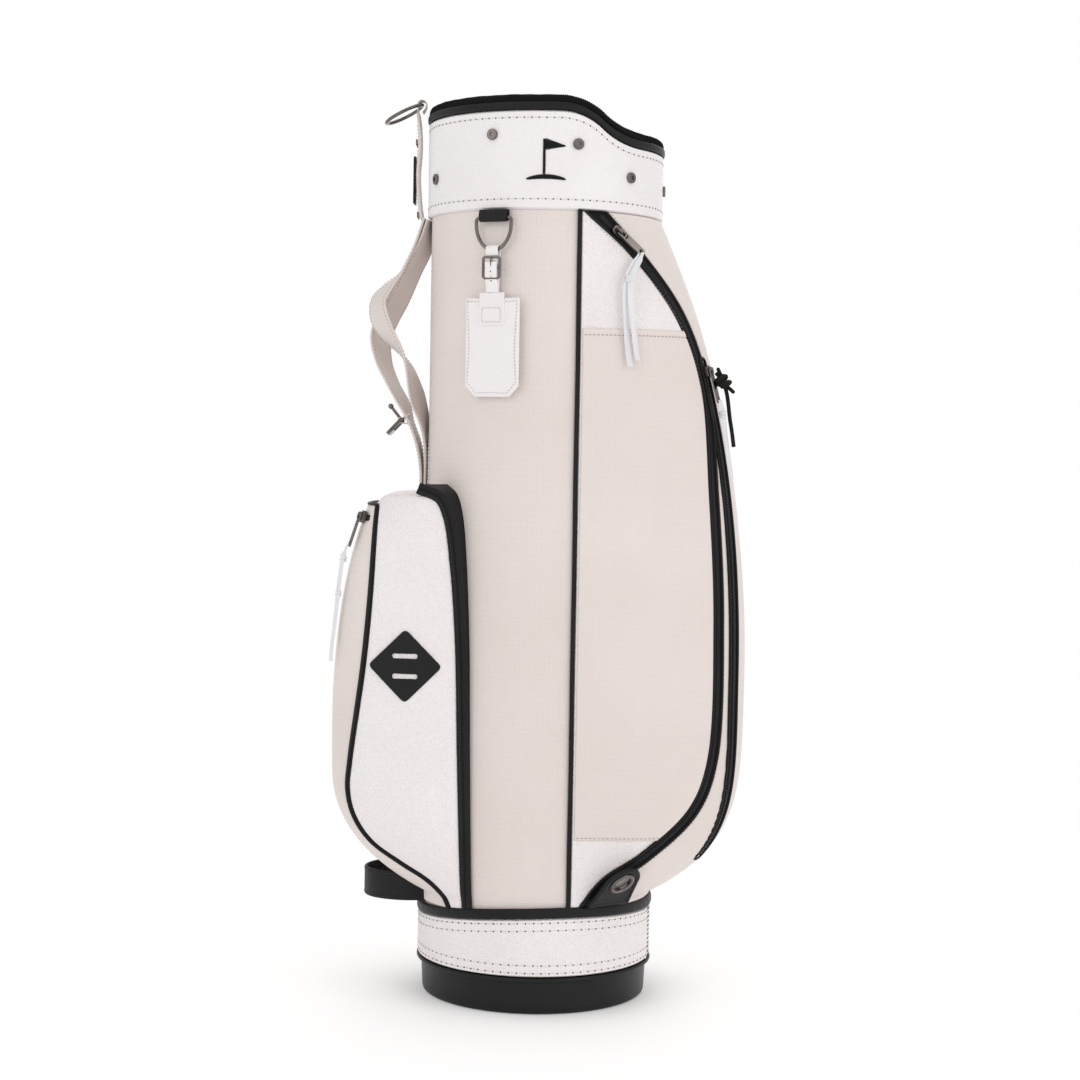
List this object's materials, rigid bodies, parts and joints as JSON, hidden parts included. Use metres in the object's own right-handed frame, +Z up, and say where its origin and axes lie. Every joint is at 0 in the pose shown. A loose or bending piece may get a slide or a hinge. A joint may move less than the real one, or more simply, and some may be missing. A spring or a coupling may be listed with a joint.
{
  "type": "golf staff bag",
  "caption": "Round cart bag for golf clubs with moulded base, divided collar, bulging apparel bag, ball pocket, shoulder strap and hanging tag.",
  "frame": {"origin": "centre of the base's underside, on the surface that the bag stands on", "axes": "+Z up along the bag's tube, +X towards the apparel bag, -X towards the ball pocket and shoulder strap, -Y towards the side with the hanging tag"},
  "size_m": [0.4172, 0.2554, 0.9078],
  "materials": {
    "moulded_base": "satin",
    "frame_plastic": "matte",
    "white_leather": "pebbled satin",
    "cream_panel": "coated ripstop",
    "black_leather": "satin",
    "black_knit": "matte",
    "divider_fabric": "matte",
    "zip_tape": "matte",
    "fibreglass": "satin",
    "gunmetal": "polished dark nickel",
    "white_ribbon": "satin",
    "dark_cord": "matte"
  },
  "bodies": {
    "root": {"ball_binding": "black_leather", "ball_gusset": "white_leather", "ball_panel": "cream_panel", "ball_piping": "black_leather", "base_band": "white_leather", "base_cap": "moulded_base", "base_trim": "black_leather", "body_shell": "cream_panel", "collar_band": "white_leather", "collar_frame": "frame_plastic", "collar_handle": "cream_panel", "collar_snaps": "gunmetal", "divider_grid": "divider_fabric", "divider_panels": "divider_fabric", "front_pocket": "cream_panel", "front_zip": "zip_tape", "handle_plate": "black_leather", "handle_rivets": "gunmetal", "lash_patches": "black_leather", "lower_handle": "black_leather", "rim_binding": "black_leather", "rim_pad": "black_knit", "seam_piping": "black_leather", "side_pocket_far": "white_leather", "side_pocket_near": "white_leather", "side_slip_far": "cream_panel", "side_slip_near": "cream_panel", "side_zip_far": "zip_tape", "side_zip_near": "zip_tape", "stay_rods": "fibreglass", "strap_buckle": "gunmetal", "strap_long": "cream_panel", "strap_short": "cream_panel", "tag_loop": "black_leather", "umbrella_eyelet": "gunmetal", "umbrella_tab": "black_leather"},
    "side_slider_near": {"side_slider_near": "gunmetal"},
    "side_slider_far": {"side_slider_far": "gunmetal"},
    "front_slider": {"front_slider": "gunmetal"},
    "ball_slider": {"ball_slider": "gunmetal"},
    "side_pull_near": {"side_pull_near": "gunmetal"},
    "side_ribbons_near": {"side_ribbon_a_near": "white_ribbon", "side_ribbon_b_near": "white_ribbon"},
    "side_pull_far": {"side_pull_far": "gunmetal"},
    "side_ribbons_far": {"side_ribbon_a_far": "white_ribbon", "side_ribbon_b_far": "white_ribbon"},
    "front_pull": {"front_pull": "gunmetal", "front_ribbon": "white_ribbon", "front_cord": "dark_cord"},
    "ball_pull": {"ball_pull": "gunmetal", "ball_ribbon_a": "white_ribbon", "ball_ribbon_b": "white_ribbon"},
    "tag_ring": {"tag_ring": "gunmetal"},
    "tag": {"tag_strap": "white_leather", "tag_buckle": "gunmetal", "tag_body": "white_leather"},
    "top_ring": {"top_ring": "gunmetal"},
    "buckle_prong": {"buckle_prong": "gunmetal"}
  },
  "joints": [
    {"name": "side_zip_near_travel", "type": "hinge", "parent": "root", "child": "side_slider_near", "pos_m": [-0.16966, -0.1194, 0.48123], "axis": [-0.2239, 0.9667, 0.124], "range_deg": [0, 12.4]},
    {"name": "side_zip_far_travel", "type": "hinge", "parent": "root", "child": "side_slider_far", "pos_m": [-0.16966, 0.1194, 0.48123], "axis": [0.2239, 0.9667, -0.124], "range_deg": [0, 12.4]},
    {"name": "front_zip_travel", "type": "hinge", "parent": "root", "child": "front_slider", "pos_m": [-0.70918, 0.29375, 0.37902], "axis": [0.3827, 0.9239, 0], "range_deg": [0, 6]},
    {"name": "ball_zip_travel", "type": "hinge", "parent": "root", "child": "ball_slider", "pos_m": [0.03374, 0, 0.484], "axis": [0, 0, -1], "range_deg": [0, 26.2]},
    {"name": "side_pull_near_lift", "type": "hinge", "parent": "side_slider_near", "child": "side_pull_near", "pos_m": [0.07241, -0.1068, 0.76826], "axis": [-0.5044, -0.4325, -0.7474], "range_deg": [0, 100]},
    {"name": "side_pull_far_lift", "type": "hinge", "parent": "side_slider_far", "child": "side_pull_far", "pos_m": [0.07241, 0.1068, 0.76826], "axis": [0.5044, -0.4325, 0.7474], "range_deg": [0, 100]},
    {"name": "front_pull_lift", "type": "hinge", "parent": "front_slider", "child": "front_pull", "pos_m": [0.16672, -0.06969, 0.63583], "axis": [-0.4558, -0.8898, -0.0224], "range_deg": [0, 100]},
    {"name": "ball_pull_lift", "type": "hinge", "parent": "ball_slider", "child": "ball_pull", "pos_m": [-0.18109, -0.05076, 0.48619], "axis": [-0.3346, 0.9421, 0.0242], "range_deg": [0, 100]},
    {"name": "side_ribbon_near_hang", "type": "hinge", "parent": "side_pull_near", "child": "side_ribbons_near", "pos_m": [0.09336, -0.09919, 0.74972], "axis": [-0.33, -0.9363, -0.1201], "range_deg": [0, 12.81]},
    {"name": "side_ribbon_far_hang", "type": "hinge", "parent": "side_pull_far", "child": "side_ribbons_far", "pos_m": [0.09336, 0.09919, 0.74972], "axis": [0.33, -0.9363, 0.1201], "range_deg": [0, 12.81]},
    {"name": "tag_ring_swing", "type": "hinge", "parent": "root", "child": "tag_ring", "pos_m": [-0.04976, -0.11073, 0.7785], "axis": [-0.9121, 0.4099, 0], "range_deg": [0, 75]},
    {"name": "tag_swing", "type": "hinge", "parent": "tag_ring", "child": "tag", "pos_m": [-0.04976, -0.11073, 0.7475], "axis": [-0.9121, 0.4099, 0], "range_deg": [0, 60]},
    {"name": "top_ring_swing", "type": "hinge", "parent": "root", "child": "top_ring", "pos_m": [-0.1266, 0, 0.9024], "axis": [0, 1, 0], "range_deg": [0, 80]},
    {"name": "buckle_prong_swing", "type": "hinge", "parent": "root", "child": "buckle_prong", "pos_m": [-0.1435, 0, 0.5825], "axis": [0, 1, 0], "range_deg": [-50, 0]}
  ],
  "couplings": [
    {"joint": "side_ribbon_near_hang", "follows": "side_zip_near_travel", "ratio": 1.0324},
    {"joint": "side_ribbon_far_hang", "follows": "side_zip_far_travel", "ratio": 1.0324}
  ]
}
